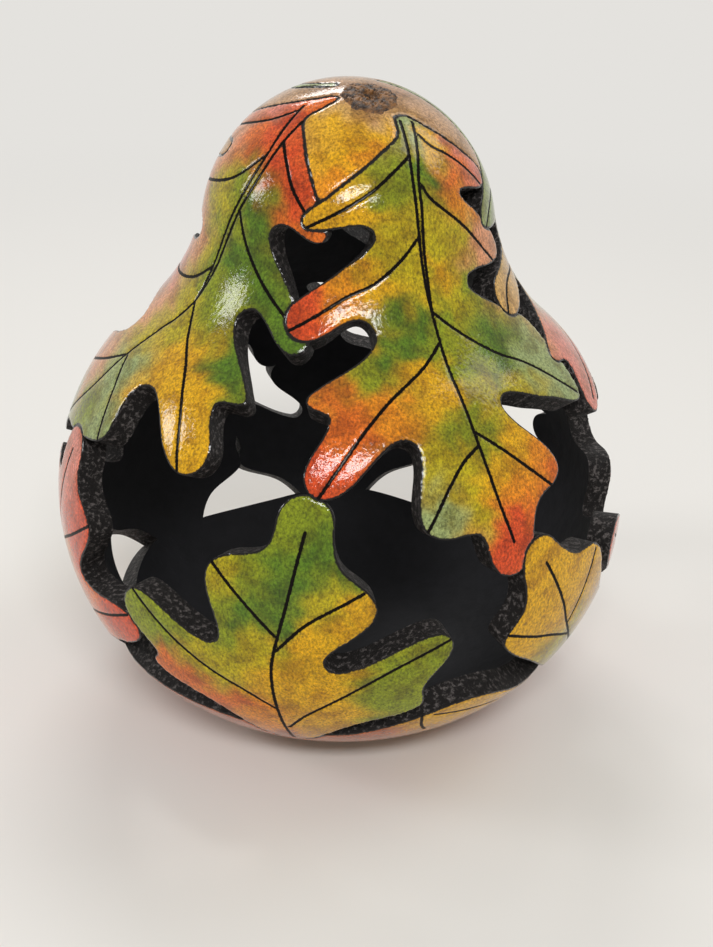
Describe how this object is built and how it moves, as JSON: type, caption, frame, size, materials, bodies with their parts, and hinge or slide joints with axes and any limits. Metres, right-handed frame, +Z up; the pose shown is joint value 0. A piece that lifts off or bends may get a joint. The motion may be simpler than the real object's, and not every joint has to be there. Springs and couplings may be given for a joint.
{
  "type": "carved gourd",
  "caption": "Pear-shaped dried gourd shell, hollow, carved into overlapping lobed leaves with pierced windows between them, on a flat foot.",
  "frame": {"origin": "centre of the flat foot, on the surface it stands on", "axes": "+Z up the gourd's axis, -Y towards the pictured front"},
  "size_m": [0.1897, 0.19, 0.2091],
  "materials": {
    "natural_shell": "natural gourd skin under gloss varnish",
    "dyed_shell": "gourd skin dyed in leaf colours, burned lines, gloss varnish",
    "dyed_base_shell": "gourd skin dyed red-brown, gloss varnish",
    "corky_scar": "rough dry cork"
  },
  "bodies": {
    "root": {"crown": "natural_shell", "stem_scar": "corky_scar", "front_leaf": "dyed_shell", "right_leaf": "dyed_shell", "back_leaf": "dyed_shell", "left_leaf": "dyed_shell", "lower_front_leaf": "dyed_shell", "lower_right_leaf": "dyed_shell", "lower_far_right_leaf": "dyed_shell", "lower_back_leaf": "dyed_shell", "lower_far_left_leaf": "dyed_shell", "lower_left_leaf": "dyed_shell", "base_bowl": "dyed_base_shell"}
  },
  "joints": []
}
